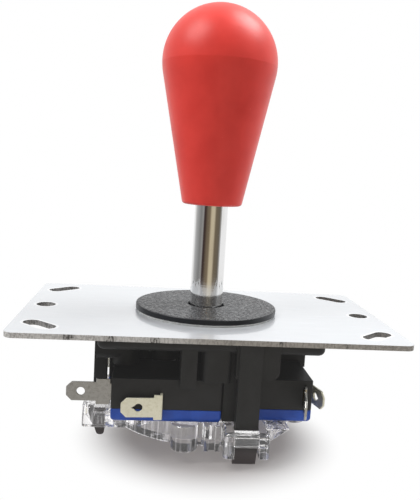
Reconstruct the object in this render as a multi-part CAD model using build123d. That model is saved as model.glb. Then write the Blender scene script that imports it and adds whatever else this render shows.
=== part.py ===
from build123d import *
from math import acos, atan2, cos, hypot, radians, sin, tan
import os

# Arcade joystick lever: a bat-top handle on a chromed shaft, a flat mounting plate, and a moulded housing
# with four snap-action switches, which a clear snap-on gate holds in place.
# Millimetres, +Z up. The origin is on the lever's axis, in the plate's top face, and -Y is the front.
# A switch bay is drawn once, for the front, and turned about the axis by quarter turns.

SIDES = ["front", "right", "back", "left"]

# Mounting plate
PLATE_LENGTH = 98.0
PLATE_OVERHANG = 0.1
PLATE_THICKNESS = 1.3
PLATE_CORNER_RADIUS = 2.5
PLATE_OPENING_DIAMETER = 25.0
SIDE_HOLE_INSET = 5.0
SIDE_HOLE_DIAMETER = 5.2
SLOT_INSET_X = 7.0
SLOT_INSET_Y = 8.5
SLOT_LENGTH = 10.1
SLOT_WIDTH = 4.3
SLOT_ANGLE = 42.5

# Countersunk screws that hold the housing under the plate
SCREW_SPACING = 22.0
SCREW_DIAMETER = 3.0
SCREW_HEAD_DIAMETER = 5.5
SCREW_LENGTH = 9.0
SCREW_CLEARANCE = 0.06
SCREW_RECESS_WIDTH = 0.8
SCREW_RECESS_DEPTH = 0.7

# Washers that slide on the plate with the shaft
SLIP_WASHER_SETBACK = 0.4
SLIP_WASHER_THICKNESS = 0.5
DUST_WASHER_DIAMETER = 39.0
DUST_WASHER_THICKNESS = 1.4
DUST_WASHER_EDGE_RADIUS = 0.35
DUST_WASHER_CLEARANCE = 0.45

# Lever
TILT_LIMIT = 7.0
SHAFT_DIAMETER = 9.1
LOWER_SHAFT_DIAMETER = 6.0
SHAFT_END_LENGTH = 1.6
SHAFT_SLOT_WIDTH = 1.0
SHAFT_SLOT_DEPTH = 1.2
STUD_LENGTH = 16.0
HANDLE_BASE_HEIGHT = 29.7
HANDLE_HEIGHT = 53.2
HANDLE_BASE_DIAMETER = 16.3
HANDLE_DOME_DIAMETER = 30.9
HANDLE_EDGE_RADIUS = 0.9
HANDLE_SOCKET_DEPTH = 3.0
SPIN_CLEARANCE = 0.05

# Pivot ball, return spring and actuator
PIVOT_DEPTH = 3.7
BALL_DIAMETER = 15.0
BALL_TOP = 3.0
BALL_BOTTOM = 6.2
BALL_CLEARANCE = 0.12
SPRING_DIAMETER = 12.0
SPRING_WIRE = 1.0
SPRING_TURNS = 4.5
SPRING_END_GAP = 0.1
ACTUATOR_DIAMETER = 15.0
ACTUATOR_WALL = 1.1
ACTUATOR_RIM_GAP = 3.1
ACTUATOR_FLOOR = 1.5
NOSE_DIAMETER = 10.0
NOSE_LENGTH = 3.0
NOSE_SETBACK = 1.3
RING_THICKNESS = 0.7
RING_DIAMETER = 9.0
RING_GROOVE_DEPTH = 0.6
RING_CLEARANCE = 0.05

# Housing
HOUSING_DEPTH = 10.3
FLANGE_SIZE = 55.4
FLANGE_THICKNESS = 3.0
FLANGE_CORNER_RADIUS = 2.0
FLANGE_EDGE_RADIUS = 1.4
COLUMN_DIAMETER = 24.0
SOCKET_MOUTH_DIAMETER = 9.6
SCREW_BOSS_DIAMETER = 7.0
PEG_DIAMETER = 3.0
PEG_CLEARANCE = 0.1
PEG_END_GAP = 0.4
PEG_BOSS_DIAMETER = 7.0
POST_LEAD = 2.45
POST_WIDTH = 7.0
POST_DEPTH = 6.6
POST_EDGE_RADIUS = 1.2
CLIP_WIDTH = 3.9
CLIP_THICKNESS = 1.5
CLIP_OVERLAP = 1.6
CLIP_GAP = 0.1
CLIP_TO_POST = 1.4
DIVIDER_GAP = 0.3
DIVIDER_THICKNESS = 3.6
DIVIDER_SETBACK = 0.6
DIVIDER_DEPTH = 10.0

# Snap hooks
HOOK_OFFSET = 9.05
HOOK_WIDTH = 5.6
HOOK_THICKNESS = 3.2
HOOK_GAP = 0.2
HOOK_DROP = 3.2
HOOK_TIP_THICKNESS = 1.9
HOOK_TIP_RADIUS = 0.9
BARB_REACH = 1.0
BARB_EDGE_RADIUS = 0.7
ROOT_WIDTH = 10.65
ROOT_DEPTH = 7.0
ROOT_SETBACK = 0.8
ROOT_LIFT = 1.4
ROOT_CORNER_RADIUS = 2.0
ROOT_TO_POST = 0.9

# Switches
SWITCH_REACH = 26.0
SWITCH_LENGTH = 27.0
SWITCH_DEPTH = 15.9
SWITCH_END = 3.0
CASE_HEIGHT = 7.7
COVER_HEIGHT = 3.2
CASE_WALL = 1.0
CASE_EDGE_RADIUS = 0.4
COVER_EDGE_RADIUS = 1.2
SWITCH_HOLE_INSET = 2.8
SWITCH_HOLE_RISE = 10.3
SWITCH_HOLE_WALL = 1.1
PLUNGER_DIAMETER = 2.4
PLUNGER_CLEARANCE = 0.1
PLUNGER_DEPTH = 4.4
PLUNGER_GAP = 0.4
PLUNGER_TRAVEL = 1.25
PLUNGER_FOOT_ROOM = 0.3
PLUNGER_FOOT_DIAMETER = 3.2
PLUNGER_FOOT_THICKNESS = 1.2

# Switch terminals and spring leaf
TERMINAL_THICKNESS = 0.6
TERMINAL_CLEARANCE = 0.05
TAB_WIDTH = 4.75
TAB_CHAMFER = 1.3
TAB_HOLE_DIAMETER = 2.0
COMMON_INSET = 2.0
COMMON_BASE_LENGTH = 3.45
COMMON_BASE_WIDTH = 6.4
COMMON_LENGTH = 10.6
COMMON_TAIL_LENGTH = 3.6
COMMON_TAIL_WIDTH = 4.2
COMMON_DEPTH = 4.1
COMMON_HOLE_PLACE = 3.5
COMMON_LEAN = {"front": 0.0, "right": 12.0, "back": 2.0, "left": 1.0}
OPEN_PLACE = 14.8
OPEN_DEPTH = 6.5
OPEN_STANDOFF = 1.5
OPEN_SHOULDER_LENGTH = 1.8
OPEN_SHOULDER_WIDTH = 6.2
OPEN_LENGTH = 9.7
OPEN_TAIL_WIDTH = 3.0
OPEN_HOLE_PLACE = 4.2
OPEN_HOLE_POINT = 1.7
OPEN_LEAN = {"front": 3.0, "right": 14.0, "back": 5.0, "left": 6.0}
LEAF_THICKNESS = 0.2
LEAF_WIDTH = 3.4
LEAF_SEAT_LENGTH = 2.2
LEAF_GAP = 0.1
CONTACT_GAP = 0.6

# Clear restrictor gate
GATE_DEPTH = 6.3
GATE_DIAMETER = 51.2
GATE_WALL = 1.6
GATE_FLOOR = 1.8
GATE_EDGE_RADIUS = 0.8
GATE_STOP_CLEARANCE = 0.35
GATE_OPENING_RADIUS = 3.0
GATE_RIM_HEIGHT = 1.2
GATE_RIM_WALL = 1.4
GATE_RIB_THICKNESS = 1.0
GATE_RIB_COUNT = 8
GATE_RIB_START = 12.0
LOOP_CLEARANCE = 0.25
LOOP_FACE_WALL = 1.3
LOOP_FACE_HEIGHT = 3.4
LOOP_SIDE_WALL = 2.6
LOOP_CORNER_RADIUS = 1.2
LOOP_CHAMFER = 0.9
LOOP_BAR_HEIGHT = 1.6
GUSSET_WIDTH = 5.0
GUSSET_HEIGHT = 3.9
GATE_BOSS_DIAMETER = 6.6
GATE_BOSS_PLACE = -5.8
GATE_KEY_PLACE = 0.9
GATE_KEY_WIDTH = 3.9
GATE_KEY_GROOVE = 1.6
GATE_KEY_REACH = 2.4

# Heights
plate_under = -PLATE_THICKNESS
flange_under = plate_under - FLANGE_THICKNESS
pivot_z = plate_under - PIVOT_DEPTH
ball_top = pivot_z + BALL_TOP
case_top = plate_under - HOUSING_DEPTH
case_under = case_top - CASE_HEIGHT
cover_under = case_under - COVER_HEIGHT
gate_under = cover_under - GATE_DEPTH
hook_tip = gate_under - HOOK_DROP
nose_under = gate_under + NOSE_SETBACK
cup_under = nose_under + NOSE_LENGTH
spring_seat = cup_under + ACTUATOR_FLOOR
ring_under = nose_under - RING_THICKNESS
shaft_end = ring_under - SHAFT_END_LENGTH
slip_top = SLIP_WASHER_THICKNESS
dust_top = slip_top + DUST_WASHER_THICKNESS
plunger_z = case_top - PLUNGER_DEPTH

# Distances from the axis, and places along the front switch
switch_inner = SWITCH_REACH - SWITCH_DEPTH
switch_far_end = SWITCH_END - SWITCH_LENGTH
common_reach = SWITCH_REACH - COMMON_INSET
open_place = SWITCH_END - OPEN_PLACE
foot_near = switch_inner + CASE_WALL + PLUNGER_TRAVEL + PLUNGER_FOOT_ROOM
foot_far = foot_near + PLUNGER_FOOT_THICKNESS
hook_inner = SWITCH_REACH + HOOK_GAP
hook_outer = hook_inner + HOOK_THICKNESS
barb_outer = hook_outer + BARB_REACH
plate_width = 2 * (barb_outer + PLATE_OVERHANG)
barb_ledge = cover_under - LOOP_BAR_HEIGHT - LOOP_CLEARANCE
peg_places = [
    (SWITCH_END - SWITCH_HOLE_INSET, SWITCH_HOLE_INSET - SWITCH_REACH),
    (switch_far_end + SWITCH_HOLE_INSET, SWITCH_HOLE_INSET + SWITCH_HOLE_RISE - SWITCH_REACH),
]
post_start = peg_places[0][0] - POST_LEAD
screw_places = [(x * SCREW_SPACING / 2, y * SCREW_SPACING / 2) for x in (-1, 1) for y in (-1, 1)]


def slab(sketch, low, high):
    return Pos(0, 0, low) * extrude(sketch, high - low)


def upright(sketch, near, far):
    # A sketch in X and Z, thickened towards the front between two distances from the axis
    return Pos(0, -near, 0) * extrude(Plane.XZ * sketch, far - near)


def spun(*points):
    return revolve(Plane.XZ * make_face(Polyline(*points, close=True)), Axis.Z)


def rod(diameter, low, high):
    return slab(Circle(diameter / 2), low, high)


def span(x, y):
    # A rectangle given by its two ends along each axis
    centre = Pos((x[0] + x[1]) / 2, (y[0] + y[1]) / 2)
    return centre * Rectangle(abs(x[1] - x[0]), abs(y[1] - y[0]))


def at_places(places, shape):
    return [Pos(x, y) * shape for x, y in places]


def turned(piece, side):
    return Rot(0, 0, 90 * SIDES.index(side)) * piece


def on_all_sides(piece):
    return [turned(piece, side) for side in SIDES]


def screw_solid(extra):
    # The screw's outline, or with extra room the hole that it goes in
    head = SCREW_HEAD_DIAMETER / 2 + extra
    stem = SCREW_DIAMETER / 2 + extra
    end = -SCREW_LENGTH - extra
    return spun((0, 0), (head, 0), (stem, stem - head), (stem, end + stem / 2), (stem / 2, end), (0, end))


def mounting_plate():
    # As wide as the hooks under it reach
    outline = RectangleRounded(PLATE_LENGTH, plate_width, PLATE_CORNER_RADIUS)
    outline -= Circle(PLATE_OPENING_DIAMETER / 2)
    half_length = PLATE_LENGTH / 2
    slot_y = plate_width / 2 - SLOT_INSET_Y
    for side in (-1, 1):
        outline -= Pos(side * (half_length - SIDE_HOLE_INSET), 0) * Circle(SIDE_HOLE_DIAMETER / 2)
        for end in (-1, 1):
            place = Pos(side * (half_length - SLOT_INSET_X), end * slot_y)
            outline -= place * SlotOverall(SLOT_LENGTH, SLOT_WIDTH, -side * end * SLOT_ANGLE)
    return slab(outline, plate_under, 0) - at_places(screw_places, screw_solid(SCREW_CLEARANCE))


def plate_screws():
    bar = Rectangle(SCREW_DIAMETER, SCREW_RECESS_WIDTH)
    cross = slab(bar + Rot(0, 0, 90) * bar, -SCREW_RECESS_DEPTH, 0)
    return Compound(children=at_places(screw_places, screw_solid(0) - cross))


def slip_washer():
    # It follows the shaft forwards and back only, so its hole leaves room for the shaft's way sideways
    sideways = (slip_top - pivot_z) * tan(radians(TILT_LIMIT))
    hole = SHAFT_DIAMETER / 2 + sideways + DUST_WASHER_CLEARANCE
    outer = DUST_WASHER_DIAMETER / 2 - SLIP_WASHER_SETBACK
    return slab(Circle(outer) - Circle(hole), 0, slip_top)


def dust_washer():
    ring = Circle(DUST_WASHER_DIAMETER / 2) - Circle(SHAFT_DIAMETER / 2 + DUST_WASHER_CLEARANCE)
    disc = slab(ring, slip_top, dust_top)
    return fillet(disc.edges().group_by(Axis.Z)[-1], DUST_WASHER_EDGE_RADIUS)


def shaft():
    upper = SHAFT_DIAMETER / 2
    lower = LOWER_SHAFT_DIAMETER / 2
    groove = lower - RING_GROOVE_DEPTH
    shoulder = HANDLE_BASE_HEIGHT + HANDLE_SOCKET_DEPTH
    stud_end = shoulder + STUD_LENGTH
    bevel = RING_GROOVE_DEPTH
    turned_bar = spun(
        (0, shaft_end), (lower - bevel, shaft_end), (lower, shaft_end + bevel), (lower, ring_under),
        (groove, ring_under), (groove, nose_under), (lower, nose_under), (lower, ball_top),
        (upper, ball_top), (upper, shoulder), (lower, shoulder), (lower, stud_end - bevel),
        (lower - bevel, stud_end), (0, stud_end),
    )
    screwdriver_slot = Rectangle(SHAFT_DIAMETER, SHAFT_SLOT_WIDTH)
    return turned_bar - slab(screwdriver_slot, shaft_end, shaft_end + SHAFT_SLOT_DEPTH)


def bat_handle():
    # A cone that runs tangent into a dome
    dome = HANDLE_DOME_DIAMETER / 2
    base = HANDLE_BASE_DIAMETER / 2
    top = HANDLE_BASE_HEIGHT + HANDLE_HEIGHT
    centre = top - dome
    drop = centre - HANDLE_BASE_HEIGHT
    lean = acos(dome / hypot(base, drop)) - atan2(drop, base)
    tangent = (dome * cos(lean), centre + dome * sin(lean))
    middle = (lean + radians(90)) / 2
    crown = ThreePointArc(tangent, (dome * cos(middle), centre + dome * sin(middle)), (0, top))
    sides = Polyline((0, top), (0, HANDLE_BASE_HEIGHT), (base, HANDLE_BASE_HEIGHT), tangent)
    body = revolve(Plane.XZ * make_face(crown + sides), Axis.Z)
    body = fillet(body.edges().group_by(Axis.Z)[0], HANDLE_EDGE_RADIUS)
    socket_top = HANDLE_BASE_HEIGHT + HANDLE_SOCKET_DEPTH
    socket = rod(SHAFT_DIAMETER + 2 * SPIN_CLEARANCE, HANDLE_BASE_HEIGHT, socket_top)
    thread_top = socket_top + STUD_LENGTH + SPIN_CLEARANCE
    thread = rod(LOWER_SHAFT_DIAMETER + 2 * SPIN_CLEARANCE, socket_top, thread_top)
    return body - socket - thread


def pivot_ball():
    ball = Pos(0, 0, pivot_z) * Sphere(BALL_DIAMETER / 2)
    ball &= rod(BALL_DIAMETER, pivot_z - BALL_BOTTOM, ball_top)
    return ball - rod(LOWER_SHAFT_DIAMETER + 2 * SPIN_CLEARANCE, pivot_z - BALL_BOTTOM, ball_top)


def return_spring():
    low = spring_seat + SPRING_WIRE / 2
    height = case_top - SPRING_END_GAP - SPRING_WIRE / 2 - low
    coil = Helix(height / SPRING_TURNS, height, (SPRING_DIAMETER - SPRING_WIRE) / 2)
    section = Plane(coil @ 0, z_dir=coil % 0) * Circle(SPRING_WIRE / 2)
    return Pos(0, 0, low) * sweep(section, coil, is_frenet=True)


def actuator():
    bore = LOWER_SHAFT_DIAMETER / 2 + SPIN_CLEARANCE
    outer = ACTUATOR_DIAMETER / 2
    inner = outer - ACTUATOR_WALL
    nose = NOSE_DIAMETER / 2
    rim = case_top - ACTUATOR_RIM_GAP
    bevel = ACTUATOR_WALL / 2
    return spun(
        (bore, nose_under), (nose - bevel, nose_under), (nose, nose_under + bevel), (nose, cup_under),
        (outer - bevel, cup_under), (outer, cup_under + bevel), (outer, rim - bevel), (outer - bevel, rim),
        (inner, rim), (inner, spring_seat), (bore, spring_seat),
    )


def retaining_ring():
    bore = LOWER_SHAFT_DIAMETER / 2 - RING_GROOVE_DEPTH + RING_CLEARANCE
    clip = Circle(RING_DIAMETER / 2) - Circle(bore)
    clip -= span((0, RING_DIAMETER), (-bore, bore))
    return slab(clip, ring_under + RING_CLEARANCE, nose_under - RING_CLEARANCE)


def snap_hook():
    # Arm, barb with a rounded lead-in, and rounded tip, in a section through the axis
    shape = Polyline(
        (hook_inner, plate_under), (hook_outer, plate_under), (hook_outer, barb_ledge),
        (barb_outer, barb_ledge), (barb_outer, barb_ledge - BARB_REACH),
        (hook_inner + HOOK_TIP_THICKNESS, hook_tip), (hook_inner, hook_tip), close=True,
    )
    section = make_face(shape)
    lead_in = section.vertices().sort_by(Axis.X)[-2:].sort_by(Axis.Y)[0]
    section = fillet(lead_in, BARB_EDGE_RADIUS)
    section = fillet(section.vertices().sort_by(Axis.Y)[:2], HOOK_TIP_RADIUS)
    hook = Pos(0, HOOK_WIDTH / 2, 0) * extrude(Plane.XZ * section, HOOK_WIDTH)
    return Pos(HOOK_OFFSET, 0, 0) * Rot(0, 0, -90) * hook


def hook_root():
    # The block over the switch's end that carries the hook, with one rounded lower corner
    start = post_start + POST_WIDTH + ROOT_TO_POST
    outline = span((start, start + ROOT_WIDTH), (case_top + ROOT_LIFT, plate_under))
    corner = outline.vertices().group_by(Axis.Y)[0].sort_by(Axis.X)[-1]
    outer = hook_outer - ROOT_SETBACK
    return upright(fillet(corner, ROOT_CORNER_RADIUS), outer - ROOT_DEPTH, outer)


def bay_posts():
    # What stands over one switch: the post and the boss for its pegs, the clip at its face,
    # and the divider beyond its end
    post_near = SWITCH_REACH - POST_DEPTH
    outer = SWITCH_REACH + CLIP_GAP + CLIP_THICKNESS
    post = Pos(post_start + POST_WIDTH / 2, -(post_near + outer) / 2) * RectangleRounded(
        POST_WIDTH, outer - post_near, POST_EDGE_RADIUS)
    boss = Pos(*peg_places[1]) * Circle(PEG_BOSS_DIAMETER / 2)
    clip = (post_start - CLIP_TO_POST - CLIP_WIDTH, post_start - CLIP_TO_POST)
    stem = span(clip, (-post_near, -outer))
    lip = span(clip, (CLIP_THICKNESS - outer, -outer))
    posts = slab(post + boss + stem, case_top, plate_under) + slab(lip, case_top - CLIP_OVERLAP, case_top)
    pegs = at_places(peg_places, rod(PEG_DIAMETER, cover_under + PEG_END_GAP, case_top))
    beside = SWITCH_END + DIVIDER_GAP
    front = DIVIDER_SETBACK - SWITCH_REACH
    divider = span((beside, beside + DIVIDER_THICKNESS), (front, front + DIVIDER_DEPTH))
    return posts + pegs + slab(divider, cover_under + PEG_END_GAP, flange_under)


def housing():
    outline = RectangleRounded(FLANGE_SIZE, FLANGE_SIZE, FLANGE_CORNER_RADIUS)
    flange = slab(outline, flange_under, plate_under)
    flange = fillet(flange.edges().group_by(Axis.Z)[0], FLANGE_EDGE_RADIUS)
    body = flange + rod(COLUMN_DIAMETER, case_top, plate_under)
    boss_under = -SCREW_LENGTH - SCREW_DIAMETER / 2
    body += at_places(screw_places, rod(SCREW_BOSS_DIAMETER, boss_under, plate_under))
    body += on_all_sides(bay_posts() + hook_root() + snap_hook())
    # Socket for the pivot ball, open above for fitting it and below for the shaft
    socket = BALL_DIAMETER + 2 * BALL_CLEARANCE
    body -= Pos(0, 0, pivot_z) * Sphere(socket / 2)
    body -= rod(socket, pivot_z, plate_under)
    body -= rod(SOCKET_MOUTH_DIAMETER, case_top, pivot_z)
    return body - at_places(screw_places, screw_solid(SCREW_CLEARANCE))


def switch_plan(inset):
    return span((switch_far_end + inset, SWITCH_END - inset), (inset - SWITCH_REACH, -inset - switch_inner))


def hole_walls():
    return Sketch() + at_places(peg_places, Circle(PEG_DIAMETER / 2 + PEG_CLEARANCE + SWITCH_HOLE_WALL))


def peg_holes(low, high):
    return at_places(peg_places, rod(PEG_DIAMETER + 2 * PEG_CLEARANCE, low, high))


def common_tail():
    # Ends of the common terminal's tail along the switch, and its lower and upper edge
    middle = case_top - COMMON_DEPTH
    return (switch_far_end, switch_far_end + COMMON_TAIL_LENGTH), (
        middle - COMMON_TAIL_WIDTH / 2, middle + COMMON_TAIL_WIDTH / 2)


def leaf_seat():
    # Where the spring leaf leaves the common terminal: its place along the switch and its reach
    return common_tail()[0][1], common_reach - (TERMINAL_THICKNESS + LEAF_THICKNESS) / 2


def leaf_press():
    # Where the leaf's slope ends and its flat tip begins, behind the plunger's foot
    return -PLUNGER_FOOT_DIAMETER / 2, foot_far + LEAF_GAP + LEAF_THICKNESS / 2


def leaf_reach(place):
    # The leaf's distance from the axis on its slope
    start, seat = leaf_seat()
    end, press = leaf_press()
    return seat + (press - seat) * (place - start) / (end - start)


def open_tail():
    # Ends of the open terminal's tail through the wall, and its lower and upper edge
    upper = case_top - OPEN_DEPTH + OPEN_SHOULDER_WIDTH / 2 - TERMINAL_THICKNESS
    return (leaf_reach(open_place) + CONTACT_GAP, SWITCH_REACH), (upper - OPEN_TAIL_WIDTH, upper)


def grown(ends, room):
    return min(ends) - room, max(ends) + room


def switch_case():
    solid = slab(switch_plan(0), case_under, case_top)
    solid = fillet(solid.edges().filter_by(Axis.Z), CASE_EDGE_RADIUS)
    solid -= slab(switch_plan(CASE_WALL) - hole_walls(), case_under, case_top - CASE_WALL)
    solid -= peg_holes(case_under, case_top)
    bore = Pos(0, plunger_z) * Circle(PLUNGER_DIAMETER / 2 + PLUNGER_CLEARANCE)
    solid -= upright(bore, switch_inner, switch_inner + CASE_WALL)
    half_slot = TERMINAL_THICKNESS / 2 + TERMINAL_CLEARANCE
    along, high = common_tail()
    slot = span(along, grown(high, TERMINAL_CLEARANCE))
    solid -= upright(slot, common_reach - half_slot, common_reach + half_slot)
    _, high = open_tail()
    slot = span((open_place - half_slot, open_place + half_slot), grown(high, TERMINAL_CLEARANCE))
    return solid - upright(slot, SWITCH_REACH - CASE_WALL, SWITCH_REACH)


def switch_cover():
    solid = slab(switch_plan(0), cover_under, case_under)
    solid = fillet(solid.edges().filter_by(Axis.Z), CASE_EDGE_RADIUS)
    lower_end = solid.edges().filter_by(Axis.Y).group_by(Axis.Z)[0].sort_by(Axis.X)[-1]
    solid = fillet(lower_end, COVER_EDGE_RADIUS)
    solid -= slab(switch_plan(CASE_WALL) - hole_walls(), cover_under + CASE_WALL, case_under)
    return solid - peg_holes(cover_under, case_under)


def switch_plunger():
    radius = PLUNGER_DIAMETER / 2
    tip = ACTUATOR_DIAMETER / 2 + PLUNGER_GAP
    pin = upright(Pos(0, plunger_z) * Circle(radius), tip + radius, foot_near)
    dome = Pos(0, -tip - radius, plunger_z) * Sphere(radius)
    foot = upright(Pos(0, plunger_z) * Circle(PLUNGER_FOOT_DIAMETER / 2), foot_near, foot_far)
    return pin + dome + foot


def spring_leaf():
    start, seat = leaf_seat()
    end, press = leaf_press()
    run = Polyline((start - LEAF_SEAT_LENGTH, -seat), (start, -seat), (end, -press), (-end, -press))
    return slab(trace(run, LEAF_THICKNESS), plunger_z - LEAF_WIDTH / 2, plunger_z + LEAF_WIDTH / 2)


def tab(root, tip, middle, hole_place):
    # A blade that runs from its root to a bevelled tip on the far side, with a hole for a wire
    outline = span((tip, root), (middle - TAB_WIDTH / 2, middle + TAB_WIDTH / 2))
    outline = chamfer(outline.vertices().group_by(Axis.X)[0], TAB_CHAMFER)
    return outline - Pos(tip + hole_place, middle) * Circle(TAB_HOLE_DIAMETER / 2)


def common_terminal(side):
    # A tail in the case, and a blade that is bent inwards a little, just outside the case's end
    (_, inside), high = common_tail()
    half = TERMINAL_THICKNESS / 2
    middle = case_top - COMMON_DEPTH
    base_high = (middle - COMMON_BASE_WIDTH / 2, middle + COMMON_BASE_WIDTH / 2)
    blade = span((-COMMON_BASE_LENGTH, 0), base_high)
    blade += tab(-COMMON_BASE_LENGTH, -COMMON_LENGTH, middle, COMMON_HOLE_PLACE)
    blade = Rot(0, 0, -COMMON_LEAN[side]) * upright(blade, -half, half)
    bend = switch_far_end - half
    tail = upright(span((bend, inside), high), common_reach - half, common_reach + half)
    return tail + Pos(bend, -common_reach) * (blade + rod(TERMINAL_THICKNESS, *high))


def open_terminal(side):
    # A tail through the wall, a shoulder at the face, and a blade bent back along the case
    middle = case_top - OPEN_DEPTH
    shoulder = (middle - OPEN_SHOULDER_WIDTH / 2, middle + OPEN_SHOULDER_WIDTH / 2)
    bend = SWITCH_REACH + OPEN_STANDOFF
    (inside, face), high = open_tail()
    riser = span((-inside, -face), high) + span((-face, -bend), shoulder)
    riser = extrude(Plane.YZ * riser, TERMINAL_THICKNESS / 2, both=True)
    blade = span((-OPEN_SHOULDER_LENGTH, 0), shoulder)
    blade += tab(-OPEN_SHOULDER_LENGTH, -OPEN_LENGTH, middle, OPEN_HOLE_PLACE)
    radius = TAB_HOLE_DIAMETER / 2
    point = Polygon((0, radius), (-OPEN_HOLE_POINT, 0), (0, -radius), align=None)
    blade -= Pos(OPEN_HOLE_PLACE - OPEN_LENGTH, middle) * point
    blade = extrude(Plane.XZ * blade, TERMINAL_THICKNESS / 2, both=True)
    knuckle = rod(TERMINAL_THICKNESS, *shoulder)
    return Pos(open_place, 0) * (riser + Pos(0, -bend) * (Rot(0, 0, OPEN_LEAN[side]) * blade + knuckle))


def gate_bay():
    # What the gate has on each side: a loop round the hook with a gusset, a round boss and a grooved key.
    # All run in to the axis, as the dish is hollowed after they are added.
    window_x = grown((HOOK_OFFSET - HOOK_WIDTH / 2, HOOK_OFFSET + HOOK_WIDTH / 2), LOOP_CLEARANCE)
    window_y = grown((-hook_inner, -barb_outer), LOOP_CLEARANCE)
    frame_x = grown(window_x, LOOP_SIDE_WALL)
    loop_face = window_y[0] - LOOP_FACE_WALL
    frame = span(frame_x, (loop_face, 0))
    frame = fillet(frame.vertices().group_by(Axis.Y)[0], LOOP_CORNER_RADIUS)
    loop = slab(frame, gate_under, cover_under)
    loop = chamfer(loop.edges().filter_by(Axis.X).group_by(Axis.Y)[0].sort_by(Axis.Z)[-1], LOOP_CHAMFER)
    boss = Pos(GATE_BOSS_PLACE, -GATE_DIAMETER / 2) * Circle(GATE_BOSS_DIAMETER / 2)
    key_face = -GATE_DIAMETER / 2 - GATE_KEY_REACH
    key = span((-GATE_KEY_WIDTH / 2, GATE_KEY_WIDTH / 2), (key_face, 0))
    key -= span((-GATE_KEY_GROOVE / 2, GATE_KEY_GROOVE / 2), (key_face, key_face + GATE_KEY_GROOVE / 2))
    bay = loop + slab(boss + Pos(GATE_KEY_PLACE, 0) * key, gate_under, cover_under)
    bay -= slab(span(window_x, window_y), gate_under, cover_under)
    bay -= slab(span(window_x, (loop_face, window_y[0])), gate_under, cover_under - LOOP_FACE_HEIGHT)
    bar = span(window_x, (window_y[0], -hook_outer - LOOP_CLEARANCE))
    bay += slab(bar, cover_under - LOOP_BAR_HEIGHT, cover_under)
    gusset = Polygon((0, 0), (GUSSET_WIDTH, 0), (0, -GUSSET_HEIGHT), align=None)
    return bay + upright(Pos(frame_x[1], cover_under) * gusset, 0, hook_outer - ROOT_SETBACK)


def restrictor_gate():
    floor_top = gate_under + GATE_FLOOR
    dish = rod(GATE_DIAMETER, gate_under, cover_under)
    dish = fillet(dish.edges().group_by(Axis.Z)[0], GATE_EDGE_RADIUS)
    dish += on_all_sides(gate_bay())
    dish -= rod(GATE_DIAMETER - 2 * GATE_WALL, floor_top, cover_under)
    half_rib = GATE_RIB_THICKNESS / 2
    rib = span((GATE_RIB_START, (GATE_DIAMETER - GATE_WALL) / 2), (-half_rib, half_rib))
    for turn in range(GATE_RIB_COUNT):
        dish += Rot(0, 0, 360 / GATE_RIB_COUNT * turn) * slab(rib, floor_top, cover_under)
    # Square opening that stops the actuator's nose at the tilt limit, with a rim above it
    reach = (pivot_z - gate_under) * tan(radians(TILT_LIMIT))
    half = NOSE_DIAMETER / 2 / cos(radians(TILT_LIMIT)) + reach + GATE_STOP_CLEARANCE
    rim_half = half + GATE_RIM_WALL
    rim_top = floor_top + GATE_RIM_HEIGHT
    rim = RectangleRounded(2 * rim_half, 2 * rim_half, GATE_OPENING_RADIUS + GATE_RIM_WALL)
    dish += slab(rim, gate_under, rim_top)
    opening = RectangleRounded(2 * half, 2 * half, GATE_OPENING_RADIUS)
    return dish - slab(opening, gate_under, rim_top)


pieces = {
    "mounting_plate": mounting_plate(),
    "plate_screws": plate_screws(),
    "housing": housing(),
    "restrictor_gate": restrictor_gate(),
    "slip_washer": slip_washer(),
    "dust_washer": dust_washer(),
    "shaft": shaft(),
    "bat_handle": bat_handle(),
    "pivot_ball": pivot_ball(),
    "return_spring": return_spring(),
    "actuator": actuator(),
    "retaining_ring": retaining_ring(),
}
for side in SIDES:
    pieces[f"switch_case_{side}"] = turned(switch_case(), side)
    pieces[f"switch_cover_{side}"] = turned(switch_cover(), side)
    pieces[f"switch_plunger_{side}"] = turned(switch_plunger(), side)
    pieces[f"spring_leaf_{side}"] = turned(spring_leaf(), side)
    pieces[f"common_terminal_{side}"] = turned(common_terminal(side), side)
    pieces[f"open_terminal_{side}"] = turned(open_terminal(side), side)

os.makedirs("parts", exist_ok=True)
for name, piece in pieces.items():
    export_step(piece, f"parts/{name}.step")
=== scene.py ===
import math
import bpy
import bmesh
from mathutils import Matrix, Vector


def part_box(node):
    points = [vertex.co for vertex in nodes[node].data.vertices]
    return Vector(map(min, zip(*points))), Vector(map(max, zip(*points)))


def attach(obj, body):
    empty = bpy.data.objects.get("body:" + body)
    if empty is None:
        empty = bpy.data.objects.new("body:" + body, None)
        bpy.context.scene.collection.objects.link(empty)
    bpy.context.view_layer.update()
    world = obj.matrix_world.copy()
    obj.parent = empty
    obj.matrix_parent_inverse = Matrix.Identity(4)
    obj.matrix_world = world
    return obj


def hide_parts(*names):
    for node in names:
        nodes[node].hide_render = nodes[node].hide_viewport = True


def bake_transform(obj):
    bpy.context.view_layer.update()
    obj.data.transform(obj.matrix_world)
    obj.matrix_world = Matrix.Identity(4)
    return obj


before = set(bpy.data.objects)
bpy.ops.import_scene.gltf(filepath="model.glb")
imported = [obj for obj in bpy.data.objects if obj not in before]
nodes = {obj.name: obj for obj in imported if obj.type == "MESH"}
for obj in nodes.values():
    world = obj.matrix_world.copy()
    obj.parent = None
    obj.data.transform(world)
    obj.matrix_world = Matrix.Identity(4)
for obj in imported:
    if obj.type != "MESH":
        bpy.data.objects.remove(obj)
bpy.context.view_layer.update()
scene = bpy.context.scene
mm = 0.001
sides = ["front", "right", "back", "left"]
sameSpot = 0.001 * mm  # points nearer to each other than this are one
sameSlope = math.radians(0.5)  # faces that differ by less than this are one flat
plasticIor = 1.5
evenMix = (0.3, 0.7)  # the levels of noise at which one colour has turned into the other
print("frame loaded:", len(nodes), "nodes")


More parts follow.
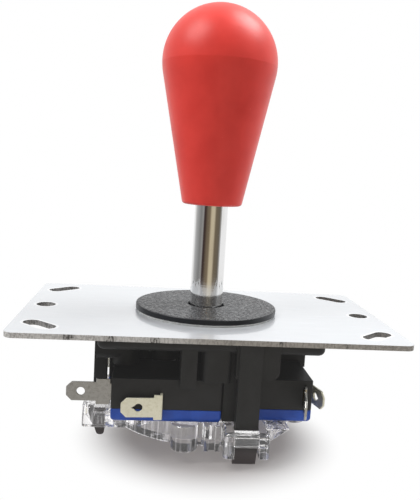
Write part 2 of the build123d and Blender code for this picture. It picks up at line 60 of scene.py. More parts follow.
class Val:  # a socket in a node tree: sums on it add Math nodes
    def __init__(self, tree, socket=None):
        self.tree = tree
        self.socket = socket

    def make(self, kind, settings, inputs, out=0):  # any other node: settings first, then values or links
        node = self.tree.nodes.new(kind)
        for name, value in settings.items():
            if name == "stops":
                setStops(node.color_ramp, value)
            else:
                setattr(node, name, value)
        for key, value in inputs.items():
            if isinstance(value, Val):
                self.tree.links.new(value.socket, node.inputs[key])
            else:
                node.inputs[key].default_value = value
        return Val(self.tree, node.outputs[out])

    def sum(self, operation, first, second=0.0):
        return self.make("ShaderNodeMath", {"operation": operation}, {0: first, 1: second})

    def __add__(self, other):
        return self.sum("ADD", self, other)

    def __radd__(self, other):
        return self.sum("ADD", other, self)

    def __sub__(self, other):
        return self.sum("SUBTRACT", self, other)

    def __rsub__(self, other):
        return self.sum("SUBTRACT", other, self)

    def __mul__(self, other):
        return self.sum("MULTIPLY", self, other)

    def __rmul__(self, other):
        return self.sum("MULTIPLY", other, self)

    def __truediv__(self, other):
        return self.sum("DIVIDE", self, other)

    def __rtruediv__(self, other):
        return self.sum("DIVIDE", other, self)

    def __abs__(self):
        return self.sum("ABSOLUTE", self)

    def root(self):
        return self.sum("SQRT", self)

    def max(self, other):
        return self.sum("MAXIMUM", self, other)

    def min(self, other):
        return self.sum("MINIMUM", self, other)

    def step(self, low, high):  # 0 below low, 1 above high, smooth between
        settings = {"interpolation_type": "SMOOTHSTEP"}
        return self.make("ShaderNodeMapRange", settings, {0: self, 1: low, 2: high, 3: 0.0, 4: 1.0})

    def near(self, place, inner, outer):  # 1 within inner of a place, 0 beyond outer
        return 1 - abs(self - place).step(inner, outer)

    def between(self, first, second):  # this share of the way from one colour to another
        return self.make("ShaderNodeMix", {"data_type": "RGBA"}, {0: self, 6: first, 7: second}, 2)

    def part(self, axis):
        return self.make("ShaderNodeSeparateXYZ", {}, {0: self}, axis)

    def scaled(self, factors):  # a vector, stretched along each axis
        return self.make("ShaderNodeVectorMath", {"operation": "MULTIPLY"}, {0: self, 1: factors})


def setStops(ramp, stops):
    while len(ramp.elements) > 1:
        ramp.elements.remove(ramp.elements[-1])
    for index, (place, colour) in enumerate(stops):
        stop = ramp.elements[0] if index == 0 else ramp.elements.new(place)
        stop.position = place
        stop.color = colour


def rgb(red, green, blue):
    return (red, green, blue, 1.0)


def lengthOf(first, second):
    return (first * first + second * second).root()


edges = {
    "rays": 12, "turned": (0.01, 0.12),  # for edges that are rounded by shading alone
    "caseWidth": 0.18, "terminalWidth": 0.10, "sharp": 40, "steps": 2,  # for edges that are cut
}


class Finish:  # one material: its shader's constants, its place in millimetres, and what feeds the shader
    def __init__(self, name, constants):
        self.material = bpy.data.materials.new(name)
        self.material.use_nodes = True
        self.tree = self.material.node_tree
        self.shader = self.tree.nodes["Principled BSDF"]
        for key, value in constants.items():
            self.shader.inputs[key].default_value = value
        self.start = Val(self.tree)
        inMetres = self.start.make("ShaderNodeTexCoord", {}, {}, "Object")
        self.place = inMetres.scaled((1 / mm, 1 / mm, 1 / mm))
        self.x, self.y, self.z = (self.place.part(axis) for axis in "XYZ")

    def feed(self, key, value):
        self.tree.links.new(value.socket, self.shader.inputs[key])

    def noise(self, size, detail=3.0, stretch=(1, 1, 1), rough=0.5, edge=None):  # size in millimetres
        place = self.place.scaled(stretch)
        inputs = {"Vector": place, "Scale": 1 / size, "Detail": detail, "Roughness": rough}
        level = self.start.make("ShaderNodeTexNoise", {}, inputs, "Fac")
        return level.step(*edge) if edge else level

    def cells(self, size, feature="F1", stretch=(1, 1, 1)):  # size in millimetres
        inputs = {"Vector": self.place.scaled(stretch), "Scale": 1 / size}
        return self.start.make("ShaderNodeTexVoronoi", {"feature": feature}, inputs, "Distance")

    def normal(self):
        return self.start.make("ShaderNodeNewGeometry", {}, {}, "Normal")

    def facing(self, axis="Z"):  # how far the surface faces along an axis, 0 to 1
        return abs(self.normal().part(axis))

    def broken(self, radius):  # the normal as if each sharp edge were rounded, radius in millimetres
        settings = {"samples": edges["rays"]}
        return self.start.make("ShaderNodeBevel", settings, {"Radius": radius * mm}, "Normal")

    def onEdges(self, broken):  # 1 along the edges that broken() rounds, 0 on the flats
        inputs = {0: broken, 1: self.normal()}
        level = self.start.make("ShaderNodeVectorMath", {"operation": "DOT_PRODUCT"}, inputs, "Value")
        return (1 - level).step(*edges["turned"])

    def bump(self, height, depth, normal=None):  # depth in millimetres
        inputs = {"Height": height, "Distance": depth * mm}
        if normal:
            inputs["Normal"] = normal
        return self.start.make("ShaderNodeBump", {}, inputs, "Normal")


def paint(finish, *names):
    for name in names:
        slots = nodes[name].data.materials
        slots.clear()
        slots.append(finish.material)


def soften(width, *names):  # breaks the sharp edges, as a mould or a press does
    for name in names:
        weld = nodes[name].modifiers.new("weld", "WELD")
        weld.merge_threshold = sameSpot
        flat = nodes[name].modifiers.new("flats", "DECIMATE")  # joins the triangles of each flat face
        flat.decimate_type = "DISSOLVE"
        flat.angle_limit = sameSlope
        bevel = nodes[name].modifiers.new("edges", "BEVEL")
        bevel.limit_method = "ANGLE"
        bevel.angle_limit = math.radians(edges["sharp"])
        bevel.width = width * mm
        bevel.segments = edges["steps"]
        bevel.use_clamp_overlap = False
        nodes[name].modifiers.new("shading", "WEIGHTED_NORMAL")


def onSides(name):
    return [f"{name}_{side}" for side in sides]


def addObject(name, data):
    thing = bpy.data.objects.new(name, data)
    scene.collection.objects.link(thing)
    return thing


view = {
    "place": (-15.94, -175.67, 39.98), "yaw": 0.092, "pitch": -0.129, "roll": 0.059,
    "lens": 54.89, "filmWidth": 36.0, "clipStart": 0.005,
}


def addCamera():
    level = math.cos(view["pitch"])
    ahead = Vector((math.sin(view["yaw"]) * level, math.cos(view["yaw"]) * level, math.sin(view["pitch"])))
    flat = Vector((math.cos(view["yaw"]), -math.sin(view["yaw"]), 0))
    over = flat.cross(ahead)
    right = math.cos(view["roll"]) * flat + math.sin(view["roll"]) * over
    up = math.cos(view["roll"]) * over - math.sin(view["roll"]) * flat
    data = bpy.data.cameras.new("camera")
    data.sensor_fit = "HORIZONTAL"
    data.sensor_width = view["filmWidth"]
    data.lens = view["lens"]
    data.clip_start = view["clipStart"]
    camera = addObject("camera", data)
    turned = Matrix((right, up, -ahead)).transposed().to_4x4()
    camera.matrix_world = Matrix.Translation(Vector(view["place"]) * mm) @ turned
    scene.camera = camera


studio = {
    "floorSize": 3.0, "floorColour": rgb(0.45, 0.428, 0.423), "floorRough": 0.9,
    # a painted shadow: a grey, and the share of the floor's shade under the object that it stands in for
    "poolAside": 1, "poolAhead": 10, "paintedShadowColour": rgb(0.37, 0.345, 0.34), "paintedShadowShare": 0.55,
    "clearNear": 19, "clearFar": 37,
    "skyLight": 0.44,
    "lamps": [((-0.37, -0.13, 0.52), 0.32, 3.3), ((0.32, 0.07, 0.57), 0.32, 4.5)],  # place, size, watts
    "cardRadius": 0.20, "cardInner": 0.05, "cardLeft": -129, "cardRight": 81, "cardStep": 3,
    "cardTop": 0.078, "cardLift": 1.0,
    # the card's foot takes the floor's tone: a painted reflection of the ground
    "paintedGroundReflection": rgb(0.72, 0.715, 0.70), "groundShare": 0.65, "groundFade": (1.5, 4.0),
    "paintedReflectionBands": [  # painted reflections, seen in metal and gloss: degrees round from the camera's side, and the tone there
        (-180, rgb(0.35, 0.34, 0.33)), (-165, rgb(0.40, 0.39, 0.38)), (-150, rgb(0.10, 0.10, 0.10)),
        (-130, rgb(0.80, 0.80, 0.80)), (-108, rgb(0.46, 0.46, 0.46)), (-70, rgb(0.24, 0.24, 0.235)),
        (-52, rgb(0.34, 0.33, 0.32)), (-44, rgb(0.05, 0.03, 0.03)), (-33, rgb(0.07, 0.05, 0.04)),
        (-22, rgb(0.17, 0.13, 0.09)), (-6, rgb(0.22, 0.17, 0.11)), (6, rgb(0.62, 0.53, 0.37)),
        (24, rgb(0.60, 0.52, 0.37)), (36, rgb(0.19, 0.15, 0.10)), (66, rgb(0.15, 0.13, 0.10)),
        (82, rgb(0.6, 0.6, 0.6)), (95, rgb(1, 1, 1)), (125, rgb(1, 1, 1)), (140, rgb(0.25, 0.25, 0.25)),
        (150, rgb(0.05, 0.05, 0.05)), (164, rgb(0.12, 0.115, 0.11)), (180, rgb(0.35, 0.34, 0.33)),
    ],
}


def whiteRays(start):  # 1 for rays from the camera and for those that metal and glass send on
    path = start.make("ShaderNodeLightPath", {}, {})
    names = ["Is Camera Ray", "Is Glossy Ray", "Is Transmission Ray"]
    camera, glossy, through = (Val(start.tree, path.socket.node.outputs[name]) for name in names)
    return camera.max(glossy).max(through)


def addWorld():
    world = bpy.data.worlds.new("studio")
    world.use_nodes = True
    scene.world = world
    tree = world.node_tree
    start = Val(tree)
    strength = studio["skyLight"] + whiteRays(start) * (1 - studio["skyLight"])
    background = tree.nodes["Background"]
    background.inputs["Color"].default_value = rgb(1, 1, 1)
    tree.links.new(strength.socket, background.inputs["Strength"])


def addFloor():
    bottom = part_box("housing")[0].z
    half = studio["floorSize"] / 2
    mesh = bpy.data.meshes.new("floor")
    corners = [(-half, -half, bottom), (half, -half, bottom), (half, half, bottom), (-half, half, bottom)]
    mesh.from_pydata(corners, [], [(0, 1, 2, 3)])
    floor = addObject("floor", mesh)
    finish = Finish("paleFloor", {"Roughness": studio["floorRough"], "Base Color": studio["floorColour"]})
    away = lengthOf(finish.x - studio["poolAside"], finish.y + studio["poolAhead"])
    clear = away.step(studio["clearNear"], studio["clearFar"])  # the shadow is a pool on a white floor
    rays = whiteRays(finish.start)
    soft = Val(finish.tree, finish.shader.outputs[0])
    # painted shadow: camera rays see a grey glow in place of part of the floor's real shade
    paintedShadow = finish.start.make("ShaderNodeEmission", {}, {"Color": studio["paintedShadowColour"], "Strength": 1.0})
    white = finish.start.make("ShaderNodeEmission", {}, {"Color": rgb(1, 1, 1), "Strength": 1.0})
    mixed = finish.start.make("ShaderNodeMixShader", {}, {0: rays * studio["paintedShadowShare"], 1: soft, 2: paintedShadow})
    mixed = finish.start.make("ShaderNodeMixShader", {}, {0: rays * clear, 1: mixed, 2: white})
    finish.tree.links.new(mixed.socket, finish.tree.nodes["Material Output"].inputs["Surface"])
    mesh.materials.append(finish.material)


def addLamps():
    for place, size, watts in studio["lamps"]:
        data = bpy.data.lights.new("softbox", "AREA")
        data.energy = watts
        data.size = size
        lamp = addObject("softbox", data)
        lamp.location = place
        lamp.rotation_euler = (-lamp.location).to_track_quat("-Z", "Y").to_euler()


def addPaintedReflectionCard():  # a card round the scene, unseen by the camera and giving no light, painted with bands that metal and gloss show as reflections
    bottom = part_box("housing")[0].z
    low = bottom + studio["cardLift"] * mm
    top = studio["cardTop"]
    towardCamera = math.atan2(view["place"][1], view["place"][0])
    points = []
    faces = []
    for index, angle in enumerate(range(-180, 181, studio["cardStep"])):
        turn = towardCamera + math.radians(angle)
        for key, height in (("cardInner", low), ("cardRadius", low), ("cardRadius", top)):
            points.append((studio[key] * math.cos(turn), studio[key] * math.sin(turn), height))
        if angle < 180:
            first = 3 * index  # each step has three points: inner, outer and top
            faces.append((first, first + 1, first + 4, first + 3))
            if studio["cardLeft"] <= angle < studio["cardRight"]:
                faces.append((first + 1, first + 2, first + 5, first + 4))
    mesh = bpy.data.meshes.new("paintedReflectionCard")
    mesh.from_pydata(points, [], faces)
    card = addObject("paintedReflectionCard", mesh)
    card.visible_camera = False
    card.visible_diffuse = False
    card.visible_transmission = False
    card.visible_shadow = False
    unlit = {"Base Color": rgb(0, 0, 0), "Specular IOR Level": 0.0, "Emission Strength": 1.0}
    finish = Finish("paintedReflectionCard", unlit)
    level = math.cos(towardCamera)
    ahead = finish.x * level + finish.y * math.sin(towardCamera)
    aside = finish.y * level - finish.x * math.sin(towardCamera)
    turn = finish.start.make("ShaderNodeMath", {"operation": "ARCTAN2"}, {0: aside, 1: ahead})
    share = turn / math.tau + 0.5
    stops = [(angle / 360 + 0.5, colour) for angle, colour in studio["paintedReflectionBands"]]
    # painted reflections: bands of tone round the scene, seen only by metal and gloss
    paintedReflectionBands = finish.start.make("ShaderNodeValToRGB", {"stops": stops}, {0: share}, "Color")
    paintedGroundReflection = 1 - finish.z.step(*(bottom / mm + height for height in studio["groundFade"]))
    finish.feed("Emission Color", (paintedGroundReflection * studio["groundShare"]).between(paintedReflectionBands, studio["paintedGroundReflection"]))
    mesh.materials.append(finish.material)


scene.view_settings.view_transform = "Standard"
addCamera()
addWorld()
addFloor()
addLamps()
addPaintedReflectionCard()
print("studio set")


handle = {
    "deep": rgb(0.62, 0.031, 0.021), "pale": rgb(0.69, 0.041, 0.029), "scuff": rgb(0.80, 0.16, 0.13),
    "gloss": 0.28, "veil": 0.10, "rough": 0.40,
    "patches": {"size": 9.0, "edge": evenMix},
    "scratches": {"size": 0.5, "detail": 2.0, "stretch": (1.0, 1.0, 0.06), "edge": (0.70, 0.80)},
    "scratchedAreas": {"size": 14.0, "edge": (0.5, 0.65)},
    "specks": 2.6, "speckEdge": (0.05, 0.11), "speckedAreas": {"size": 7.0, "edge": (0.55, 0.7)},
    "scuffShare": 0.45, "scuffRough": 0.2, "scuffDepth": 0.02,
    "rubbed": {"size": 4.0, "detail": 5.0, "edge": (0.45, 0.75)}, "rubbedRough": 0.06,
    "seam": 0.16, "seamLean": 0.08, "seamHeight": 0.02,
    "grain": {"size": 0.35, "detail": 2.0}, "grainHeight": 0.010,
    "crease": 67.0, "creaseReach": 4.0, "creaseDrop": 0.32,
}


def redHandle():
    satin = {"IOR": plasticIor, "Specular IOR Level": handle["gloss"], "Sheen Weight": handle["veil"]}
    finish = Finish("redHandle", satin)
    patches = finish.noise(**handle["patches"])
    scratches = finish.noise(**handle["scratches"]) * finish.noise(**handle["scratchedAreas"])
    specks = 1 - finish.cells(handle["specks"]).step(*handle["speckEdge"])
    scuffs = scratches.max(specks * finish.noise(**handle["speckedAreas"]))
    colour = patches.between(handle["deep"], handle["pale"])
    finish.feed("Base Color", (scuffs * handle["scuffShare"]).between(colour, handle["scuff"]))
    rubbed = finish.noise(**handle["rubbed"])
    rough = handle["rough"] + rubbed * handle["rubbedRough"] + scuffs * handle["scuffRough"]
    finish.feed("Roughness", rough)
    fromSeam = finish.y + finish.x * handle["seamLean"]  # where the mould halves meet
    seam = fromSeam.near(0.0, 0.0, handle["seam"])
    grain = finish.noise(**handle["grain"])
    off = abs(finish.z - handle["crease"])  # from the faint edge where the dome meets the cone
    fall = off / (off + handle["creaseReach"]) * handle["creaseDrop"]
    raised = grain * handle["grainHeight"] + seam * handle["seamHeight"]
    finish.feed("Normal", finish.bump(raised - scuffs * handle["scuffDepth"] - fall, 1.0))
    return finish


chrome = {
    "bright": rgb(0.80, 0.80, 0.80), "dull": rgb(0.70, 0.69, 0.67), "rough": 0.045,
    "haze": {"size": 3.0, "detail": 5.0, "stretch": (1, 1, 0.25), "edge": (0.4, 0.8)}, "hazeRough": 0.06,
    "rings": {"size": 0.25, "detail": 2.0, "stretch": (0.05, 0.05, 1.0)},  # faint marks of turning
    "ringRough": 0.02, "ringDepth": 0.002,
}


def chromedSteel():
    finish = Finish("chromedSteel", {"Metallic": 1.0})
    haze = finish.noise(**chrome["haze"])
    finish.feed("Base Color", haze.between(chrome["bright"], chrome["dull"]))
    rings = finish.noise(**chrome["rings"])
    finish.feed("Roughness", chrome["rough"] + haze * chrome["hazeRough"] + rings * chrome["ringRough"])
    finish.feed("Normal", finish.bump(rings, chrome["ringDepth"]))
    return finish


washer = {
    "low": rgb(0.008, 0.009, 0.011), "high": rgb(0.038, 0.040, 0.044), "gloss": 0.27, "top": (0.9, 0.98),
    "hide": {"size": 1.15, "feature": "DISTANCE_TO_EDGE", "stretch": (0.75, 1.0, 1.0)}, "hideDepth": 0.24,
    # the pebbles' lighter tone is partly their own and partly painted sheen
    "warp": 1.3, "warpShare": 0.20, "pebbleEdge": (0.06, 0.34), "pebbleSheen": 0.7,
    "fine": {"size": 0.25, "detail": 4.0}, "fineTone": 0.3, "fineHeight": 0.25,
    "rough": 0.34, "polish": 0.14,
}


def grainedWasher():
    finish = Finish("grainedWasher", {"IOR": plasticIor, "Specular IOR Level": washer["gloss"]})
    top = finish.facing().step(*washer["top"])
    warp = finish.noise(washer["warp"])
    creases = finish.cells(**washer["hide"])
    pebble = (creases + warp * washer["warpShare"]).step(*washer["pebbleEdge"])
    fine = finish.noise(**washer["fine"])
    # the pebbles are lighter on the top face alone: partly the grain's own tone, partly painted sheen
    tone = (pebble * washer["pebbleSheen"] + fine * washer["fineTone"]) * top
    finish.feed("Base Color", tone.between(washer["low"], washer["high"]))
    finish.feed("Roughness", washer["rough"] - pebble * top * washer["polish"])
    height = (pebble + fine * washer["fineHeight"]) * top
    finish.feed("Normal", finish.bump(height, washer["hideDepth"]))
    return finish


plate = {
    "zinc": rgb(0.60, 0.625, 0.65), "spangle": rgb(0.565, 0.59, 0.62), "smudge": rgb(0.49, 0.52, 0.56),
    "cleanCut": rgb(0.60, 0.59, 0.57), "sheared": rgb(0.36, 0.34, 0.31), "burnt": rgb(0.06, 0.055, 0.05),
    # the pale rim colour is a painted highlight round the holes and slots; the dark wall colour is painted
    # shade inside them
    "wall": rgb(0.13, 0.13, 0.13), "rim": rgb(0.86, 0.87, 0.88),
    "sideHole": (44.0, 2.6),  # place along the plate, radius
    "slot": (42.0, 22.0, 5.05, 2.15, 42.5),  # place, half length, radius, lean in degrees
    "top": (0.6, 0.9), "coat": 0.9, "coatRough": 0.035, "coatIor": 1.5,
    "rolled": {"size": 2.2, "detail": 4.0, "stretch": (0.25, 1.0, 1.0), "edge": (0.35, 0.7)},
    "smears": {"size": 6.0, "detail": 5.0, "stretch": (0.5, 1.4, 1.0), "edge": (0.55, 0.8)},
    "rolledShare": 0.5, "smearShare": 0.25, "smearRough": 0.06, "smearCoat": 0.4,
    "clouds": {"size": 11.0, "detail": 4.0}, "cloudRough": 0.10,
    "roll": {"size": 1.2, "stretch": (0.3, 1.0, 1.0)}, "rollHeight": 0.003,
    "rimWidth": 0.9, "rimInner": 0.5, "rimShare": 0.6, "rimDepth": 0.10,
    "torn": {"size": 0.45, "detail": 5.0, "stretch": (1.0, 1.0, 0.5), "rough": 0.6, "edge": (0.44, 0.60)},
    "tornShare": 0.30, "tornHeight": 0.05, "cutChange": (-14.0, 4.0),
    "stains": {"size": 5.0, "stretch": (1.0, 1.0, 0.1), "edge": (0.58, 0.66)}, "stainShare": 0.6,
    "blots": ((-34.0, 1.6), (-24.5, 1.5), (-14.0, 1.6), (15.6, 0.6)),  # place along the edge, half width
    "blotInner": 0.5, "blotShare": 0.30, "blotTorn": 0.35,
    # painted shade: the walls inside the holes and slots are painted dark
    "inHole": (0.02, 0.2), "wallShare": 0.55, "wallTorn": 0.35,
    "edgeMetal": 0.3, "topMetal": 0.25, "edgeRough": 0.48, "topSmooth": 0.16,
}


def slotDistance(finish):  # distance from the rounded slot's edge, the four folded into one quarter
    placeX, placeY, halfLength, radius, lean = plate["slot"]
    acrossX = abs(finish.x) - placeX
    acrossY = abs(finish.y) - placeY
    turn = math.radians(-lean)
    along = acrossX * math.cos(turn) + acrossY * math.sin(turn)
    off = acrossY * math.cos(turn) - acrossX * math.sin(turn)
    past = (abs(along) - (halfLength - radius)).max(0.0)
    return lengthOf(past, off) - radius


def zincPlate():
    finish = Finish("zincPlate", {"Coat Roughness": plate["coatRough"], "Coat IOR": plate["coatIor"]})
    top = finish.facing().step(*plate["top"])
    rolled = finish.noise(**plate["rolled"])
    clouds = finish.noise(**plate["clouds"])
    smears = finish.noise(**plate["smears"])
    zinc = (rolled * plate["rolledShare"]).between(plate["zinc"], plate["spangle"])
    zinc = (smears * plate["smearShare"]).between(zinc, plate["smudge"])
    holeX, holeRadius = plate["sideHole"]
    fromHole = lengthOf(abs(finish.x) - holeX, finish.y) - holeRadius
    fromEdge = fromHole.min(slotDistance(finish))
    # painted highlight: a pale line round each hole and slot, where the rolled rim catches the light
    rim = 1 - fromEdge.step(plate["rimWidth"] * plate["rimInner"], plate["rimWidth"])
    zinc = (rim * plate["rimShare"]).between(zinc, plate["rim"])
    torn = finish.noise(**plate["torn"])
    cut = finish.x.step(*plate["cutChange"]).between(plate["cleanCut"], plate["sheared"])
    blots = finish.noise(**plate["stains"]) * plate["stainShare"]
    for place, width in plate["blots"]:
        blots = blots.max(finish.x.near(place, width * plate["blotInner"], width))
    burnt = torn * plate["tornShare"] + blots * (plate["blotShare"] + torn * plate["blotTorn"])
    edge = burnt.between(cut, plate["burnt"])
    # painted shade: the walls inside the holes and slots turn dark, with a little of the torn edge's
    # variation
    inHole = 1 - fromEdge.step(*plate["inHole"])
    edge = (inHole * (plate["wallShare"] + torn * plate["wallTorn"])).between(edge, plate["wall"])
    finish.feed("Base Color", top.between(edge, zinc))
    finish.feed("Metallic", plate["edgeMetal"] + top * plate["topMetal"])
    smooth = plate["topSmooth"] - clouds * plate["cloudRough"] - smears * plate["smearRough"]
    finish.feed("Roughness", plate["edgeRough"] - top * smooth)
    finish.feed("Coat Weight", top * (plate["coat"] - smears * plate["smearCoat"]))
    roll = finish.noise(**plate["roll"])
    dished = fromEdge.step(0.0, plate["rimWidth"])
    onTop = top * (roll * plate["rollHeight"] + dished * plate["rimDepth"])
    onCut = (1 - top) * torn * plate["tornHeight"]
    finish.feed("Normal", finish.bump(onTop + onCut, 1.0))
    return finish


moulded = {
    "deep": rgb(0.011, 0.011, 0.0108), "pale": rgb(0.018, 0.018, 0.0178), "gloss": 0.28,
    "housingRough": 0.46, "caseRough": 0.40, "edge": 0.18,
    "flow": {"size": 7.0, "detail": 4.0}, "flowRough": 0.10,
    "spark": 0.14, "sparkPolish": 0.04, "sparkDepth": 0.018,  # the grain of a spark-eroded mould
    "paintedGlow": 0.011,  # a painted glow: the least that the black plastic shows in its recesses, in place of the light that reaches them
    "foot": (-29.0, -25.5),  # below this height the glow is painted brighter, in place of the light that the floor throws on the hooks' tips
    "above": rgb(1, 1, 0.99), "below": rgb(3.4, 2.9, 2.9),
}


def mouldedBlack(name, rough):
    satin = {"IOR": plasticIor, "Specular IOR Level": moulded["gloss"]}
    finish = Finish(name, {**satin, "Emission Strength": moulded["paintedGlow"]})
    # painted light: the whole part glows faintly, and more on the hooks' tips
    raised = finish.z.step(*moulded["foot"])
    finish.feed("Emission Color", raised.between(moulded["below"], moulded["above"]))
    flow = finish.noise(**moulded["flow"])
    finish.feed("Base Color", flow.step(*evenMix).between(moulded["deep"], moulded["pale"]))
    spark = finish.cells(moulded["spark"])
    finish.feed("Roughness", rough + flow * moulded["flowRough"] - spark * moulded["sparkPolish"])
    finish.feed("Normal", finish.bump(spark, moulded["sparkDepth"], finish.broken(moulded["edge"])))
    return finish


cover = {
    "deep": rgb(0.013, 0.067, 0.400), "pale": rgb(0.020, 0.099, 0.530), "rough": 0.34,
    "flow": {"size": 5.0, "detail": 4.0}, "flowRough": 0.08,
    "fine": {"size": 0.2, "detail": 2.0}, "fineDepth": 0.010,
}


def blueCover():
    finish = Finish("blueCover", {"IOR": plasticIor})
    flow = finish.noise(**cover["flow"])
    finish.feed("Base Color", flow.step(*evenMix).between(cover["deep"], cover["pale"]))
    fine = finish.noise(**cover["fine"])
    finish.feed("Roughness", cover["rough"] + flow * cover["flowRough"])
    finish.feed("Normal", finish.bump(fine, cover["fineDepth"]))
    return finish


tab = {
    "drawn": {"size": 0.5, "detail": 4.0, "stretch": (0.2, 0.2, 1.0)},
    "blot": {"size": 0.9, "detail": 6.0, "rough": 0.65, "edge": (0.42, 0.75)},
    "drawnShare": 0.2, "drawnDepth": 0.012, "blotMetal": 0.2, "blotRough": 0.14,
}
commonTab = {
    "tin": rgb(0.50, 0.49, 0.465), "stain": rgb(0.28, 0.27, 0.245),
    "amount": 0.6, "metallic": 1.0, "rough": 0.18,
}
openTab = {
    "tin": rgb(0.89, 0.87, 0.71), "stain": rgb(0.56, 0.52, 0.30),
    "amount": 0.4, "metallic": 0.40, "rough": 0.34,
}


def tinnedTab(name, tin, stain, amount, metallic, rough):
    finish = Finish(name, {})
    drawn = finish.noise(**tab["drawn"])
    blot = finish.noise(**tab["blot"])
    finish.feed("Base Color", (blot * amount + drawn * tab["drawnShare"]).between(tin, stain))
    finish.feed("Metallic", metallic - blot * tab["blotMetal"])
    finish.feed("Roughness", rough + blot * tab["blotRough"])
    finish.feed("Normal", finish.bump(drawn, tab["drawnDepth"]))
    return finish


gate = {
    "tint": rgb(0.99, 0.985, 0.985), "milk": rgb(0.95, 0.94, 0.94),
    "ior": 1.49, "gloss": 0.32, "clear": 0.975, "rough": 0.01,
    "haze": {"size": 6.0, "detail": 4.0}, "hazeEdge": (0.4, 0.8), "hazeRough": 0.05,
    "edge": 0.22, "shine": 0.7,
    "bevel": 0.9, "bevelDark": 0.55, "bevelLit": 0.4,  # lit on the upper part alone
    "bevelSlope": (0.707, 0.10, 0.20),  # how far up it faces, and how near to that counts
    "streaksAndGlints": {"size": 0.9, "detail": 2.0, "stretch": (1.0, 1.0, 0.06)}, "streakDepth": 0.08,
    "flat": (0.985, 0.999), "glintEdge": (0.48, 0.70),
    # painted light: a faint glow on the whole gate, and painted glints on the streaks of its round walls
    "paintedFaintGlow": rgb(0.008, 0.008, 0.008), "paintedStreakGlint": rgb(0.20, 0.195, 0.20),
    "ripple": {"size": 2.4, "detail": 2.0}, "rippleShare": 0.06,
}


def clearGate():
    clear = {
        "IOR": gate["ior"], "Specular IOR Level": gate["gloss"],
        "Transmission Weight": gate["clear"], "Emission Strength": 1.0,
    }
    finish = Finish("clearGate", clear)
    haze = finish.noise(**gate["haze"])
    finish.feed("Base Color", haze.step(*evenMix).between(gate["tint"], gate["milk"]))
    slope = finish.normal().part("Z")
    broken = finish.broken(gate["edge"])
    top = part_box("restrictor_gate")[1].z / mm
    high = finish.z.step(top - gate["bevel"] * gate["bevelDark"], top - gate["bevel"] * gate["bevelLit"])
    bright = slope.near(*gate["bevelSlope"]) * high * gate["shine"]  # the bevels throw the light back
    finish.feed("Metallic", bright.max(finish.onEdges(broken) * gate["shine"]))
    finish.feed("Roughness", haze.step(*gate["hazeEdge"]) * gate["hazeRough"] + gate["rough"])
    flat = finish.facing("X").max(finish.facing("Y")).max(finish.facing("Z"))
    streaksAndGlints = finish.noise(**gate["streaksAndGlints"]) * (1 - flat.step(*gate["flat"]))  # on round walls alone
    # painted glints: the streaks glow, in place of light caught in the clear plastic; the same streaks are
    # also a real bump
    finish.feed("Emission Color", streaksAndGlints.step(*gate["glintEdge"]).between(gate["paintedFaintGlow"], gate["paintedStreakGlint"]))
    ripple = finish.noise(**gate["ripple"]) * gate["rippleShare"]
    finish.feed("Normal", finish.bump(ripple + streaksAndGlints, gate["streakDepth"], broken))
    return finish


plain = {  # two colours, then metallic, roughness and the size of a patch
    "whiteNylon": (rgb(0.74, 0.74, 0.71), rgb(0.82, 0.82, 0.80), 0.0, 0.38, 3.0),
    "springWire": (rgb(0.48, 0.48, 0.48), rgb(0.60, 0.60, 0.60), 1.0, 0.26, 2.0),
    "screwSteel": (rgb(0.55, 0.55, 0.56), rgb(0.68, 0.68, 0.69), 1.0, 0.30, 1.0),
    "redPlunger": (rgb(0.42, 0.03, 0.025), rgb(0.52, 0.05, 0.04), 0.0, 0.36, 1.0),
    "brassLeaf": (rgb(0.62, 0.42, 0.16), rgb(0.74, 0.54, 0.24), 1.0, 0.28, 1.5),
}
plainGrain = {"detail": 4.0, "patchRough": 0.1, "fineShare": 0.2, "fineDetail": 2.0, "fineDepth": 0.008}


def plainFinish(name, first, second, metallic, rough, size):
    finish = Finish(name, {"Metallic": metallic})
    patch = finish.noise(size, plainGrain["detail"])
    finish.feed("Base Color", patch.step(*evenMix).between(first, second))
    finish.feed("Roughness", rough + patch * plainGrain["patchRough"])
    fine = finish.noise(size * plainGrain["fineShare"], plainGrain["fineDetail"])
    finish.feed("Normal", finish.bump(fine, plainGrain["fineDepth"]))
    return finish


plainFinishes = {name: plainFinish(name, *values) for name, values in plain.items()}

paint(redHandle(), "bat_handle")
paint(chromedSteel(), "shaft")
paint(grainedWasher(), "dust_washer")
paint(zincPlate(), "mounting_plate")
paint(mouldedBlack("mouldedHousing", moulded["housingRough"]), "housing", "actuator")
paint(mouldedBlack("switchCase", moulded["caseRough"]), *onSides("switch_case"))
paint(blueCover(), *onSides("switch_cover"))
paint(tinnedTab("commonTab", **commonTab), *onSides("common_terminal"))
paint(tinnedTab("openTab", **openTab), *onSides("open_terminal"))
paint(plainFinishes["whiteNylon"], "slip_washer", "pivot_ball")
paint(plainFinishes["springWire"], "retaining_ring")
paint(plainFinishes["screwSteel"], "plate_screws")
paint(plainFinishes["redPlunger"], *onSides("switch_plunger"))
print("finishes done")

soften(edges["caseWidth"], *onSides("switch_case"), *onSides("switch_cover"))
soften(edges["terminalWidth"], *onSides("common_terminal"), *onSides("open_terminal"))
print("edges softened")


gusset = {
    "start": 14.7, "inside": 0.5, "width": 5.0, "drop": 3.3, "seats": (20.2, 15.2), "reach": 28.6,
    "cutFrom": 14.4, "cutTo": 20.3, "cutDrops": (4.6, 0.4), "cutRoom": 0.3, "cutNear": 14.0, "cutFar": 29.2,
    "dishRadius": 25.602, "dishHeight": 30.0, "dishSteps": 256, "sharp": 35,
}


def meshOf(bm):
    mesh = bpy.data.meshes.new("shape")
    bm.to_mesh(mesh)
    bm.free()
    return mesh


def welded(mesh):  # the mesh, open for editing, with its doubled points joined
    bm = bmesh.new()
    bm.from_mesh(mesh)
    bmesh.ops.remove_doubles(bm, verts=bm.verts, dist=sameSpot)
    return bm


